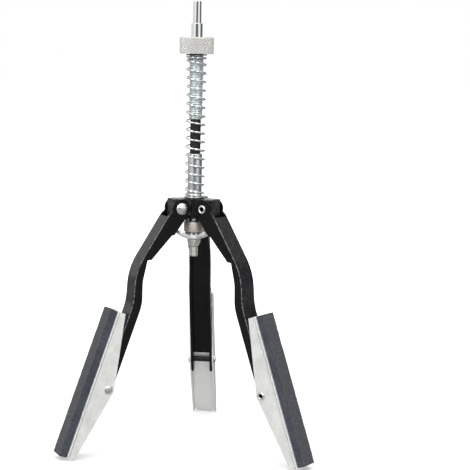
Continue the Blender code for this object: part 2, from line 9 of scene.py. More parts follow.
import bmesh
import bpy
from mathutils import Matrix, Vector, noise
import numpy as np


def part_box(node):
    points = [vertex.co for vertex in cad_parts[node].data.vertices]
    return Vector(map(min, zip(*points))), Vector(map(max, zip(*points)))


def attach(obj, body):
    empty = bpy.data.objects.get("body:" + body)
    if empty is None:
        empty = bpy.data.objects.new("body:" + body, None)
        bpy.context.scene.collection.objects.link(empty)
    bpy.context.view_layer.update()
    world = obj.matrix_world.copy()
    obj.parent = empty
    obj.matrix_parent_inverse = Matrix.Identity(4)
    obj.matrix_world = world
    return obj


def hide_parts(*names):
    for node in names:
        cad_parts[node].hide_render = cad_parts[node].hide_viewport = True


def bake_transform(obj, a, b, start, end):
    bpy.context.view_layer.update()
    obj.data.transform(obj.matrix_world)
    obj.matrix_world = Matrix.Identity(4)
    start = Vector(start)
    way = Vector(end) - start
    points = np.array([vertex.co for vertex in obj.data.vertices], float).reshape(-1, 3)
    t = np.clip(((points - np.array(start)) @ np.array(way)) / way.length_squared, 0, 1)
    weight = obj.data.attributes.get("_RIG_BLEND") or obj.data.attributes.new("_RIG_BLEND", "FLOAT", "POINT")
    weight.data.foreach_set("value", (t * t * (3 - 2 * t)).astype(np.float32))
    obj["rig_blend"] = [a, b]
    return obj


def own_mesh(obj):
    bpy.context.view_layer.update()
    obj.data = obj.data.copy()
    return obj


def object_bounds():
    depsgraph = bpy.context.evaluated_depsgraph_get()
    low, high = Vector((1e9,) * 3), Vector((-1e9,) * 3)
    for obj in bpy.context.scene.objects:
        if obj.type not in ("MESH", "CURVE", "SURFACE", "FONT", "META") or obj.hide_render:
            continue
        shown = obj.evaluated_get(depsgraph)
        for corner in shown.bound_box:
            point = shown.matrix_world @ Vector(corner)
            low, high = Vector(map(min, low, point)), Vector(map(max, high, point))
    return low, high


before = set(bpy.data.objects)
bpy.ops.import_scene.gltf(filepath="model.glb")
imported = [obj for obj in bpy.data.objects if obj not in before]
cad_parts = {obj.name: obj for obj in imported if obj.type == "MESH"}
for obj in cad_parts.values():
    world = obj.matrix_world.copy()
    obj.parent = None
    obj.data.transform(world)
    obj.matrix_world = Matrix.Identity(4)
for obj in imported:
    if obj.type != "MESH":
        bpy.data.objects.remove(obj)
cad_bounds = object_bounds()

MM = 0.001
GAP = 0.3 * MM
LEG_ANGLES = [math.radians(a) for a in (90.0, 210.0, 330.0)]
TILT = math.radians(20.2)

# Sizes of shapes that a node's box doesn't give
THREAD_PITCH = 1.5 * MM
THREAD_DEPTH = 0.55 * MM
THREAD_RUN_OUT = 0.7 * MM
WINDING_PITCH = 1.12 * MM
WINDING_DEPTH = 0.16 * MM
SHANK_TIP_LENGTH = 14.5 * MM
SHANK_STEP = 1.0 * MM
NECK_RADIUS = 4.2 * MM
STUD_RADIUS = 2.6 * MM
STUD_BORE_RADIUS = STUD_RADIUS + GAP
CONE_COLLAR_HEIGHT = 2.2 * MM
CONE_TIP_RADIUS = 3.2 * MM
KNURL_COUNT = 46                    # diamonds round the nut
KNURL_ROW = 1.85 * MM
KNURL_DEPTH = 0.32 * MM
KNURL_FLAT = 0.42                   # a diamond's flat top, as a share of its step
NUT_CHAMFER = 0.1 * MM
NUT_BORE_RADIUS = 5.1 * MM
NUT_BORE_CHAMFER = 0.9 * MM
NUT_RIM = 0.25 * MM
WIRE_RADIUS = 0.62 * MM
SPRING_RADIUS = 6.2 * MM
SPRING_PITCH = 5.7 * MM
CLOSED_PITCH = 1.5 * MM
CLOSED_TURNS = 0.9
COIL_MARK_HEIGHT = -41.5 * MM       # the wire passes this height
COIL_MARK_ANGLE = math.radians(7)   # at this angle from X
SPRING_SPLIT_TURN = 11.0            # the two runs of the spring meet here
STONE_LENGTH = 101.6 * MM
STONE_WIDTH = 12.7 * MM
STONE_THICKNESS = 5.25 * MM
STONE_FACE = 16.4 * MM              # from the shoe pin's axis
GRAIN_STEP = 0.7 * MM
GRAIN_RELIEF = 0.06 * MM
STONE_WEAR = 0.35 * MM              # along its edges
BROAD_FACE = 20 * MM ** 2


def centre(node):
    least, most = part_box(node)
    return (least + most) / 2


def low(node):
    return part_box(node)[0].z


def high(node):
    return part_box(node)[1].z


def radius(node):
    """A turned piece's radius, or half of leg 1's pieces' width."""
    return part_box(node)[1].x


HUB_PIN = centre("hub_pin_1")
SHOE_PIN = centre("shoe_pin_1")
ARM_HALF = radius("arm_1")          # leg 1's pins run along X
SHOE_HALF = radius("stone_shoe_1")


def leg_place(index):
    """From a leg's plane to the frame."""
    turn = Matrix.Rotation(LEG_ANGLES[index], 4, "Z")
    return turn @ Matrix.Translation((HUB_PIN.y, 0, HUB_PIN.z))


def shoe_place(index):
    """From an upright shoe, about its pin, to the frame."""
    reach = SHOE_PIN - HUB_PIN
    move = Matrix.Translation((reach.y, 0, reach.z))
    return leg_place(index) @ move @ Matrix.Rotation(-TILT, 4, "Y")


# ---------------------------------------------------------------- materials

class Surface:
    """Builds one procedural material, node by node."""

    def __init__(self, name, metallic, specular=0.5):
        self.mat = bpy.data.materials.new(name)
        self.mat.use_nodes = True
        self.tree = self.mat.node_tree
        self.shader = self.tree.nodes["Principled BSDF"]
        self.shader.inputs["Metallic"].default_value = metallic
        self.shader.inputs["Specular IOR Level"].default_value = specular
        self.place = self.tree.nodes.new("ShaderNodeTexCoord").outputs["Object"]

    def node(self, kind, **settings):
        made = self.tree.nodes.new(kind)
        for key, value in settings.items():
            setattr(made, key, value)
        return made

    def link(self, out, into):
        self.tree.links.new(out, into)

    def noise(self, scale, detail=4.0, rough=0.55, stretch=(1, 1, 1), turn=(0, 0, 0)):
        """Noise over the object, its features about 1/scale metres across."""
        mapping = self.node("ShaderNodeMapping")
        mapping.inputs["Scale"].default_value = stretch
        mapping.inputs["Rotation"].default_value = turn
        self.link(self.place, mapping.inputs["Vector"])
        made = self.node("ShaderNodeTexNoise")
        made.inputs["Scale"].default_value = scale
        made.inputs["Detail"].default_value = detail
        made.inputs["Roughness"].default_value = rough
        self.link(mapping.outputs["Vector"], made.inputs["Vector"])
        return made.outputs["Fac"]

    def ramp(self, fac, stops):
        """Colours along a value; each stop is (position, colour)."""
        made = self.node("ShaderNodeValToRGB")
        ramp = made.color_ramp
        while len(ramp.elements) < len(stops):
            ramp.elements.new(0.5)
        for element, (position, colour) in zip(ramp.elements, stops):
            element.position = position
            element.color = (*colour, 1.0)
        self.link(fac, made.inputs["Fac"])
        return made.outputs["Color"]

    def mix(self, fac, first, second, blend="MIX"):
        made = self.node("ShaderNodeMix", data_type="RGBA", blend_type=blend)
        if isinstance(fac, float):
            made.inputs[0].default_value = fac
        else:
            self.link(fac, made.inputs[0])
        for value, socket in ((first, made.inputs[6]), (second, made.inputs[7])):
            if isinstance(value, tuple):
                socket.default_value = (*value, 1.0)
            else:
                self.link(value, socket)
        return made.outputs[2]

    def span(self, fac, low_value, high_value, start=0.3, end=0.7):
        """A value mapped to a range."""
        made = self.node("ShaderNodeMapRange")
        made.inputs["From Min"].default_value = start
        made.inputs["From Max"].default_value = end
        made.inputs["To Min"].default_value = low_value
        made.inputs["To Max"].default_value = high_value
        self.link(fac, made.inputs["Value"])
        return made.outputs["Result"]

    def attribute(self, name):
        return self.node("ShaderNodeAttribute", attribute_name=name).outputs["Fac"]

    def colour(self, out):
        self.link(out, self.shader.inputs["Base Color"])

    def roughness(self, out):
        self.link(out, self.shader.inputs["Roughness"])

    def bump(self, out, depth, strength=0.5, before=None):
        """Relief of a depth in metres."""
        made = self.node("ShaderNodeBump")
        made.inputs["Strength"].default_value = strength
        made.inputs["Distance"].default_value = depth
        self.link(out, made.inputs["Height"])
        if before is not None:
            self.link(before, made.inputs["Normal"])
        self.link(made.outputs["Normal"], self.shader.inputs["Normal"])
        return made.outputs["Normal"]


def metal(name, dark, light, rough, scale=900, stretch=(1, 1, 1), depth=0.02 * MM,
          mottle=180, edge=None, metallic=1.0):
    """Bare or plated metal: mottled colour, fine tool marks and varied gloss, and an edge colour painted
    where the "edge" layer marks it, as painted shade or a painted highlight.
    """
    surface = Surface(name, metallic)
    broad = surface.noise(mottle, 3.0)
    fine = surface.noise(scale, 3.0, stretch=stretch)
    tint = surface.ramp(broad, [(0.32, dark), (0.68, light)])
    marks = surface.ramp(fine, [(0.3, (0.86, 0.86, 0.86)), (0.62, (1.0, 1.0, 1.0))])
    tint = surface.mix(0.7, tint, marks, "MULTIPLY")
    if edge is not None:
        tint = surface.mix(surface.attribute("edge"), tint, edge)
    surface.colour(tint)
    surface.roughness(surface.span(fine, rough[0], rough[1]))
    surface.bump(fine, depth, 0.35)
    return surface.mat


def black_paint(name):
    """Semi-gloss black enamel over pressed steel: orange peel, dust, and painted highlights where the "edge"
    layer marks it.
    """
    surface = Surface(name, 0.0, 0.25)
    broad = surface.noise(70, 4.0, 0.6)
    peel = surface.noise(1500, 2.0)
    dust = surface.noise(5200, 5.0, 0.7)
    tint = surface.ramp(broad, [(0.3, (0.002, 0.002, 0.0025)), (0.7, (0.005, 0.005, 0.0058))])
    specks = surface.span(dust, 0.0, 0.15, 0.68, 0.82)
    tint = surface.mix(specks, tint, (0.07, 0.07, 0.075))
    # Painted highlight: grey where the "edge" layer marks rounded edges, bend crests and broad faces, broken
    # up by noise
    painted_highlight = surface.node("ShaderNodeMath", operation="MULTIPLY")
    surface.link(surface.attribute("edge"), painted_highlight.inputs[0])
    surface.link(surface.span(surface.noise(420, 5.0, 0.7), 0.15, 0.8, 0.4, 0.6), painted_highlight.inputs[1])
    tint = surface.mix(painted_highlight.outputs[0], tint, (0.26, 0.26, 0.275))
    surface.colour(tint)
    surface.roughness(surface.span(surface.noise(260, 5.0), 0.15, 0.27))
    first = surface.bump(peel, 0.02 * MM, 0.25)
    surface.bump(dust, 0.012 * MM, 0.4, first)
    return surface.mat


def abrasive(name):
    """Vitrified abrasive grain: slate grey with lighter and darker grits."""
    surface = Surface(name, 0.0, 0.3)
    broad = surface.noise(60, 4.0, 0.6)
    grain = surface.noise(2600, 3.0, 0.75)
    grit = surface.node("ShaderNodeTexVoronoi")
    grit.inputs["Scale"].default_value = 2100
    surface.link(surface.place, grit.inputs["Vector"])
    tint = surface.ramp(broad, [(0.3, (0.036, 0.039, 0.051)), (0.72, (0.060, 0.064, 0.077))])
    marks = surface.ramp(grain, [(0.3, (0.55, 0.55, 0.56)), (0.6, (1.0, 1.0, 1.0)),
                                 (0.75, (1.7, 1.7, 1.72))])
    tint = surface.mix(0.85, tint, marks, "MULTIPLY")
    sparkle = surface.span(grit.outputs["Distance"], 0.5, 0.0, 0.02, 0.16)
    tint = surface.mix(sparkle, tint, (0.22, 0.22, 0.23))
    # Painted light: the working face is a little paler and greyer, as where more light falls on it
    lit_face_tint = surface.ramp(grain, [(0.3, (0.036, 0.037, 0.041)), (0.7, (0.104, 0.105, 0.112))])
    tint = surface.mix(surface.attribute("edge"), tint, lit_face_tint)
    clumps = surface.ramp(surface.noise(850, 4.0, 0.75), [(0.36, (0.62, 0.62, 0.64)),
                                                          (0.64, (1.4, 1.4, 1.4))])
    surface.colour(surface.mix(0.8, tint, clumps, "MULTIPLY"))
    surface.roughness(surface.span(grain, 0.75, 0.95))
    first = surface.bump(grain, 0.12 * MM, 0.7)
    surface.bump(grit.outputs["Distance"], 0.08 * MM, 0.4, first)
    return surface.mat


def bronze(name):
    """Sintered bronze: dull and porous."""
    surface = Surface(name, 0.85)
    broad = surface.noise(260, 4.0, 0.6)
    pores = surface.noise(3200, 4.0, 0.7)
    tint = surface.ramp(broad, [(0.3, (0.62, 0.55, 0.51)), (0.7, (0.84, 0.78, 0.74))])
    marks = surface.ramp(pores, [(0.34, (0.55, 0.5, 0.48)), (0.5, (1.0, 1.0, 1.0))])
    surface.colour(surface.mix(0.8, tint, marks, "MULTIPLY"))
    surface.roughness(surface.span(pores, 0.55, 0.36))
    surface.bump(pores, 0.03 * MM, 0.5)
    return surface.mat


def wound_black(name):
    """Blackened wire with a slight oily sheen."""
    surface = Surface(name, 0.0, 0.35)
    broad = surface.noise(240, 4.0, 0.6)
    fine = surface.noise(3000, 3.0, stretch=(1, 1, 0.3))
    surface.colour(surface.ramp(broad, [(0.3, (0.004, 0.004, 0.0045)), (0.7, (0.010, 0.010, 0.011))]))
    surface.roughness(surface.span(fine, 0.38, 0.6))
    surface.bump(fine, 0.02 * MM, 0.4)
    return surface.mat


def floor_white(name):
    """A pale floor that brightens evenly away from the tool."""
    surface = Surface(name, 0.0, 0.2)
    fine = surface.noise(35, 3.0)
    surface.colour(surface.ramp(fine, [(0.3, (0.91, 0.91, 0.91)), (0.7, (0.94, 0.94, 0.94))]))
    surface.shader.inputs["Roughness"].default_value = 0.9
    surface.shader.inputs["Emission Color"].default_value = (1.0, 1.0, 1.0, 1.0)
    away = surface.node("ShaderNodeVectorMath", operation="LENGTH")
    surface.link(surface.place, away.inputs[0])
    glow = surface.span(away.outputs["Value"], 0.22, 0.9, 0.15, 0.9)
    surface.link(glow, surface.shader.inputs["Emission Strength"])
    # In reflections it is a dim table, as under a light tent
    dim = surface.node("ShaderNodeBsdfDiffuse")
    dim.inputs["Color"].default_value = (0.30, 0.30, 0.30, 1.0)
    seen = surface.node("ShaderNodeLightPath")
    choice = surface.node("ShaderNodeMixShader")
    surface.link(seen.outputs["Is Camera Ray"], choice.inputs[0])
    surface.link(dim.outputs[0], choice.inputs[1])
    surface.link(surface.shader.outputs[0], choice.inputs[2])
    surface.link(choice.outputs[0], surface.tree.nodes["Material Output"].inputs["Surface"])
    return surface.mat


MATERIALS = {
    "polished_steel": metal("polished_steel", (0.80, 0.82, 0.81), (0.88, 0.89, 0.88),
                            (0.02, 0.06), 2400, (1, 1, 6), 0.001 * MM),
    "spring_wire": metal("spring_wire", (0.70, 0.72, 0.72), (0.86, 0.87, 0.87),
                         (0.08, 0.16), 1800, depth=0.004 * MM, mottle=500),
    "zinc_plate": metal("zinc_plate", (0.48, 0.51, 0.53), (0.70, 0.73, 0.75),
                        (0.2, 0.36), 1500, (1, 1, 4), 0.01 * MM, mottle=260),
    # Its darker edge colour is painted shade in the thread's grooves
    "green_zinc": metal("green_zinc", (0.64, 0.70, 0.70), (0.82, 0.87, 0.87),
                        (0.3, 0.44), 1500, (1, 1, 4), 0.01 * MM, mottle=260,
                        edge=(0.44, 0.51, 0.50), metallic=0.8),
    # Its darker edge colour is painted shade in the knurl's grooves
    "satin_steel": metal("satin_steel", (0.61, 0.60, 0.575), (0.70, 0.69, 0.665),
                         (0.45, 0.6), 1800, depth=0.012 * MM, mottle=300,
                         edge=(0.51, 0.50, 0.48), metallic=0.4),
    # Painted shadow: a dark steel for the cap washer, which lies in the nut's shadow
    "painted_shadow_steel": metal("painted_shadow_steel", (0.07, 0.07, 0.07), (0.16, 0.16, 0.15),
                        (0.35, 0.5), 1500, depth=0.02 * MM, mottle=300),
    # Its near-black edge colour is painted shade in the rivets' hollow ends and on their shanks
    "bright_rivet": metal("bright_rivet", (0.74, 0.75, 0.76), (0.9, 0.9, 0.9),
                          (0.16, 0.32), 900, depth=0.05 * MM, mottle=420,
                          edge=(0.02, 0.02, 0.02)),
    # Its dark edge colour is painted shade along the hex bit's edges
    "grey_steel": metal("grey_steel", (0.58, 0.60, 0.56), (0.80, 0.81, 0.77),
                        (0.3, 0.45), 1500, depth=0.02 * MM, mottle=400,
                        edge=(0.18, 0.18, 0.17), metallic=0.75),
    # Its paler edge colour is a painted highlight on the plate's rounded edges
    "plate_zinc": metal("plate_zinc", (0.84, 0.86, 0.86), (0.95, 0.96, 0.95),
                        (0.22, 0.4), 1500, (3, 1, 1), 0.012 * MM, mottle=300,
                        edge=(0.97, 0.97, 0.97), metallic=0.7),
    # Its paler edge colour is a painted highlight on the shoes' edges and painted light on the base's inner
    # face
    "matt_zinc": metal("matt_zinc", (0.66, 0.665, 0.645), (0.78, 0.78, 0.755),
                       (0.38, 0.54), 1300, (1, 1, 0.35), 0.02 * MM, mottle=120,
                       edge=(0.93, 0.93, 0.92), metallic=0.4),
    # Its paler edge colour is a painted highlight on the backing strips' edges
    "backing_plate": metal("backing_plate", (0.80, 0.82, 0.83), (0.92, 0.94, 0.95),
                           (0.25, 0.4), 1300, (1, 1, 0.4), 0.02 * MM, mottle=200,
                           edge=(0.95, 0.97, 0.98), metallic=0.5),
    # Painted shade: dark for the washer between collar and plate, with a pale edge colour as a painted
    # highlight on the tips
    "tooth_steel": metal("tooth_steel", (0.10, 0.09, 0.085), (0.20, 0.19, 0.18),
                         (0.3, 0.5), 1500, depth=0.02 * MM, mottle=400,
                         edge=(0.85, 0.83, 0.80)),
    "sintered_bronze": bronze("sintered_bronze"),
    "black_paint": black_paint("black_paint"),
    "black_flexible_shaft": wound_black("black_flexible_shaft"),
    "abrasive_stone": abrasive("abrasive_stone"),
}


# ---------------------------------------------------------------- mesh helpers

def finished(name, shape, slot, body, nodes, place=None, finish=None, sharp=35):
    """Turn a bmesh into a piece of the object: its material from the finish or else the slot, its body, and
    its CAD nodes hidden.
    """
    mesh = bpy.data.meshes.new(name)
    bmesh.ops.recalc_face_normals(shape, faces=shape.faces)
    if place is not None:
        shape.transform(place)
    shape.to_mesh(mesh)
    shape.free()
    mesh.materials.append(MATERIALS[finish or slot])
    mesh.shade_smooth()
    mesh.set_sharp_from_angle(angle=math.radians(sharp))
    obj = bpy.data.objects.new(name, mesh)
    bpy.context.scene.collection.objects.link(obj)
    if body is not None:
        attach(obj, body)
    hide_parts(*nodes)
    return obj


def weighted(obj):
    """Keep broad flat faces flat in their shading, next to rounded edges."""
    modifier = obj.modifiers.new("Weighted", "WEIGHTED_NORMAL")
    modifier.keep_sharp = True
    modifier.weight = 60


def band(shape, first, second):
    """Quads between two rings of vertices."""
    count = len(first)
    made = []
    for i in range(count):
        j = (i + 1) % count
        made.append(shape.faces.new((first[i], first[j], second[j], second[i])))
    return made


def grid(shape, rows):
    """Quads between rows of points; each row closes on itself."""
    made = [[shape.verts.new(point) for point in row] for row in rows]
    for lower, upper in zip(made, made[1:]):
        band(shape, lower, upper)
    return made


def circle(r, z, segments):
    steps = [2 * math.pi * i / segments for i in range(segments)]
    return [Vector((r * math.cos(a), r * math.sin(a), z)) for a in steps]


def turned(profile, segments=64):
    """Turn (radius, height) points about Z; a zero radius at an end closes it."""
    shape = bmesh.new()
    closed_ring = profile[0][0] > 0 and profile[-1][0] > 0
    inner = [p for p in profile if p[0] > 0]
    made = grid(shape, [circle(r, z, segments) for r, z in inner])
    if closed_ring:
        band(shape, made[-1], made[0])
    for end, row in ((profile[0], made[0]), (profile[-1], made[-1])):
        if end[0] == 0:
            tip = shape.verts.new((0, 0, end[1]))
            for i in range(segments):
                shape.faces.new((row[i], row[(i + 1) % segments], tip))
    return shape


def arc(centre_r, centre_z, r, start, end, steps):
    """(radius, height) points on an arc, its angles in degrees."""
    angles = [math.radians(start + (end - start) * i / steps) for i in range(steps + 1)]
    return [(centre_r + r * math.cos(a), centre_z + r * math.sin(a)) for a in angles]


def washer(node, inner, e):
    """A ring's profile to fill a node's box, its outer edges rounded by e."""
    outer, bottom, top = radius(node), low(node), high(node)
    outside = arc(outer - e, top - e, e, 90, 0, 4) + arc(outer - e, bottom + e, e, 0, -90, 4)
    return [(inner, top)] + outside + [(inner, bottom)]


def from_cad(node):
    """A CAD node's mesh as whole flat faces."""
    shape = bmesh.new()
    shape.from_mesh(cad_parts[node].data)
    bmesh.ops.remove_doubles(shape, verts=shape.verts, dist=0.002 * MM)
    bmesh.ops.dissolve_limit(shape, angle_limit=math.radians(0.5),
                             verts=shape.verts, edges=shape.edges)
    return shape


def painted_light_layer(shape):
    """The face layer that materials read as "edge": painted shade in grooves and hollows, painted highlights
    on edges, and painted light on lit faces.
    """
    layers = shape.faces.layers.float
    return layers.get("edge") or layers.new("edge")


def soften(shape, edges, width, segments=2, mark=0.0):
    """Round some edges, give the new faces a mark for painted shade or a painted highlight, and return its
    layer and them.
    """
    layer = painted_light_layer(shape)
    made = bmesh.ops.bevel(shape, geom=edges, offset=width, offset_type="OFFSET",
                           segments=segments, profile=0.5, affect="EDGES",
                           clamp_overlap=True)
    for face in made["faces"]:
        face[layer] = mark
    return layer, made["faces"]


def mark_broad_faces(shape, place, direction, amount):
    """Mark the big flat faces that look along +X or -X of their own frame, for painted light."""
    layer = painted_light_layer(shape)
    shape.normal_update()
    turned_back = place.inverted().to_3x3()
    for face in shape.faces:
        facing = (turned_back @ face.normal).x * direction > 0.5
        if facing and face.calc_area() > BROAD_FACE:
            face[layer] = amount


def sharp_edges(shape, angle=30):
    return [e for e in shape.edges
            if e.is_manifold and e.calc_face_angle() > math.radians(angle)]


# ---------------------------------------------------------------- shaft

def threaded(top, bottom, outer, depth, pitch, segments=40, steps=8, rounded=False):
    """A rod with a helical thread that runs out at both ends, or with round windings."""
    count = round((top - bottom) / (pitch / steps))
    rows = []
    for k in range(count + 1):
        z = bottom + (top - bottom) * k / count
        end = min(z - bottom, top - z) / THREAD_RUN_OUT
        row = []
        for i in range(segments):
            phase = (z / pitch - i / segments) % 1.0
            if rounded:
                cut = 1.0 - abs(math.sin(math.pi * phase))
            else:                       # flat crests and roots, and sloping sides
                cut = min(max(abs(2 * phase - 1) * 1.5 - 0.2, 0.0), 1.0)
                cut = max(cut, 1.0 - min(end, 1.0))
            r = outer - depth * cut
            a = 2 * math.pi * i / segments
            row.append(Vector((r * math.cos(a), r * math.sin(a), z)))
        rows.append(row)
    shape = bmesh.new()
    groove = painted_light_layer(shape)
    made = grid(shape, rows)
    # Faces deeper in the groove get a higher mark: painted shade in the thread
    for face in shape.faces:
        reach = face.calc_center_median().to_2d().length
        face[groove] = min(max((outer - reach) / depth, 0.0), 1.0)
    shape.faces.new(made[0])
    shape.faces.new(made[-1])
    return shape


def build_shaft():
    top, bottom = high("drive_shank"), low("drive_shank")
    wide = radius("drive_shank")
    tip, step = wide - SHANK_STEP, top - SHANK_TIP_LENGTH
    e = 0.15 * MM
    shank = [(0, top)] + arc(tip - e, top - e, e, 90, 0, 4) + arc(tip + e, step + e, e, 180, 270, 4)
    shank += arc(wide - e, step - e, e, 90, 0, 4) + [(wide, bottom), (0, bottom)]
    finished("shank_turned", turned(shank, 96), "polished_steel", "shaft", ["drive_shank"])
    outer = radius("threaded_sleeve")
    thread = threaded(high("threaded_sleeve"), low("threaded_sleeve"), outer,
                      THREAD_DEPTH, THREAD_PITCH)
    finished("sleeve_threaded", thread, "zinc_plate", "shaft", ["threaded_sleeve"],
             finish="green_zinc", sharp=50)
    flex = threaded(high("flexible_shaft"), low("flexible_shaft"), radius("flexible_shaft"),
                    WINDING_DEPTH, WINDING_PITCH, rounded=True)
    finished("shaft_wound", flex, "black_flexible_shaft", "shaft", ["flexible_shaft"], sharp=60)
    top, bottom = high("lower_sleeve"), low("lower_sleeve")
    shoulder = low("hub") + GAP
    neck_end = high("bush_collar") + GAP
    e = 0.5 * MM
    lower = [(0, top)] + arc(outer - e, top - e, e, 90, 0, 4)
    lower += [(outer, shoulder + e), (outer - e, shoulder), (NECK_RADIUS, shoulder)]
    lower += [(NECK_RADIUS, neck_end), (STUD_RADIUS, neck_end), (STUD_RADIUS, bottom)]
    lower.append((0, bottom))
    finished("sleeve_lower", turned(lower, 96), "zinc_plate", "shaft", ["lower_sleeve"])


def knurl(shape, outer, bottom, top):
    """Two crossing families of grooves that leave small flat-topped diamonds.

    Returns the grooves' points by column and row, and the number of the last row.
    """
    groove = painted_light_layer(shape)
    columns = 2 * KNURL_COUNT
    last = 2 * round((top - bottom) / KNURL_ROW)
    step = (top - bottom) / last

    def point(i, k, r):
        a = 2 * math.pi * i / columns
        return Vector((r * math.cos(a), r * math.sin(a), bottom + step * k))

    lattice = {}
    for k in range(last + 1):
        for i in range(columns):
            if (i + k) % 2 == 0 or k in (0, last):
                lattice[i, k] = shape.verts.new(point(i, k, outer - KNURL_DEPTH))
    for k in range(1, last):
        for i in range(columns):
            if (i + k) % 2 == 0:
                continue
            around = [((i + 1) % columns, k), (i, k + 1), ((i - 1) % columns, k), (i, k - 1)]
            flat = []
            for di, dk in ((1, 0), (0, 1), (-1, 0), (0, -1)):
                corner = point(i + di * KNURL_FLAT, k + dk * KNURL_FLAT, outer)
                flat.append(shape.verts.new(corner))
            shape.faces.new(flat)
            rim = [lattice[key] for key in around]
            # The groove faces take painted shade
            for face in band(shape, rim, flat):
                face[groove] = 1.0
    return lattice, last


def nut_end(shape, lattice, k, inside, face_z, inward):
    """Close the knurl's row k, next to row inside, and lead into the nut's bore."""
    groove = painted_light_layer(shape)
    columns = 2 * KNURL_COUNT
    for i in range(columns):
        if (i + inside) % 2 == 0:
            left, right = (i - 1) % columns, (i + 1) % columns
            shape.faces.new((lattice[left, k], lattice[i, k], lattice[i, inside]))
            shape.faces.new((lattice[i, k], lattice[right, k], lattice[i, inside]))
    root = radius("adjusting_nut") - KNURL_DEPTH
    sizes = [(root - NUT_RIM, face_z), (NUT_BORE_RADIUS + NUT_BORE_CHAMFER, face_z),
             (NUT_BORE_RADIUS, face_z + inward * NUT_BORE_CHAMFER)]
    edge, mouth, lip = [[shape.verts.new(v) for v in circle(r, z, columns)] for r, z in sizes]
    # The knurl's end groove takes painted shade
    for face in band(shape, [lattice[i, k] for i in range(columns)], edge):
        face[groove] = 1.0
    band(shape, edge, mouth)
    band(shape, mouth, lip)
    return lip


def build_nut():
    top, bottom, outer = high("adjusting_nut"), low("adjusting_nut"), radius("adjusting_nut")
    shape = bmesh.new()
    lattice, last = knurl(shape, outer, bottom + NUT_CHAMFER, top - NUT_CHAMFER)
    lower_lip = nut_end(shape, lattice, 0, 1, bottom, 1)
    upper_lip = nut_end(shape, lattice, last, last - 1, top, -1)
    band(shape, lower_lip, upper_lip)
    finished("nut_knurled", shape, "satin_steel", "nut", ["adjusting_nut"], sharp=20)
    # The cap washer is painted dark as the nut's shadow
    cap = washer("spring_cap", NUT_BORE_RADIUS, 0.25 * MM)
    finished("cap_washer", turned(cap), "satin_steel", "cap", ["spring_cap"],
             finish="painted_shadow_steel")
    seat = washer("spring_seat", NUT_BORE_RADIUS, 0.25 * MM)
    finished("seat_washer", turned(seat), "zinc_plate", "hub", ["spring_seat"])


# ---------------------------------------------------------------- spring

SPRING_TOP = high("tension_spring") - WIRE_RADIUS
SPRING_BOTTOM = low("tension_spring") + WIRE_RADIUS
CLOSED_DROP = CLOSED_TURNS * CLOSED_PITCH
OPEN_TURNS = (SPRING_TOP - SPRING_BOTTOM - 2 * CLOSED_DROP) / SPRING_PITCH
ALL_TURNS = OPEN_TURNS + 2 * CLOSED_TURNS
MARKED_TURN = CLOSED_TURNS + (SPRING_TOP - CLOSED_DROP - COIL_MARK_HEIGHT) / SPRING_PITCH


def spring_point(turn):
    """The middle of the wire, so many turns down from its top end."""
    closed = min(turn, CLOSED_TURNS) + max(turn - CLOSED_TURNS - OPEN_TURNS, 0.0)
    z = SPRING_TOP - closed * CLOSED_PITCH - (turn - closed) * SPRING_PITCH
    angle = COIL_MARK_ANGLE + 2 * math.pi * (turn - MARKED_TURN)
    return Vector((SPRING_RADIUS * math.cos(angle), SPRING_RADIUS * math.sin(angle), z))


def spring_run(start, end, per_turn=40, sides=14):
    """A length of the spring's wire, closed at both ends."""
    count = round((end - start) * per_turn)
    rows = []
    for k in range(count + 1):
        turn = start + (end - start) * k / count
        here = spring_point(turn)
        along = (spring_point(turn + 0.002) - spring_point(turn - 0.002)).normalized()
        out = Vector((here.x, here.y, 0)).normalized()
        side = along.cross(out).normalized()
        out = side.cross(along)
        steps = [2 * math.pi * i / sides for i in range(sides)]
        rows.append([here + (out * math.cos(a) + side * math.sin(a)) * WIRE_RADIUS
                     for a in steps])
    shape = bmesh.new()
    made = grid(shape, rows)
    shape.faces.new(made[0])
    shape.faces.new(made[-1])
    return shape


def build_spring():
    """The lower run shortens as the legs close; the upper run rides with the shaft."""
    meet = spring_point(SPRING_SPLIT_TURN).z
    upper = finished("spring_run_upper", spring_run(0.0, SPRING_SPLIT_TURN), "polished_steel",
                     "shaft", ["tension_spring"], finish="spring_wire")
    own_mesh(upper)
    lower = finished("spring_run_lower", spring_run(SPRING_SPLIT_TURN, ALL_TURNS),
                     "polished_steel", None, ["tension_spring"], finish="spring_wire")
    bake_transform(lower, "hub", "shaft", start=(0, 0, SPRING_BOTTOM + WIRE_RADIUS),
             end=(0, 0, meet - 2 * WIRE_RADIUS))


# ---------------------------------------------------------------- hub and stack

def build_hub():
    shape = from_cad("hub")
    # Painted highlights on the rounded edges, and painted light on the lugs' outer faces
    soften(shape, sharp_edges(shape), 0.35 * MM, 3, 0.3)
    for index in range(3):
        mark_broad_faces(shape, leg_place(index), 1, 0.18)
    weighted(finished("hub_block", shape, "black_paint", "hub", ["hub"]))


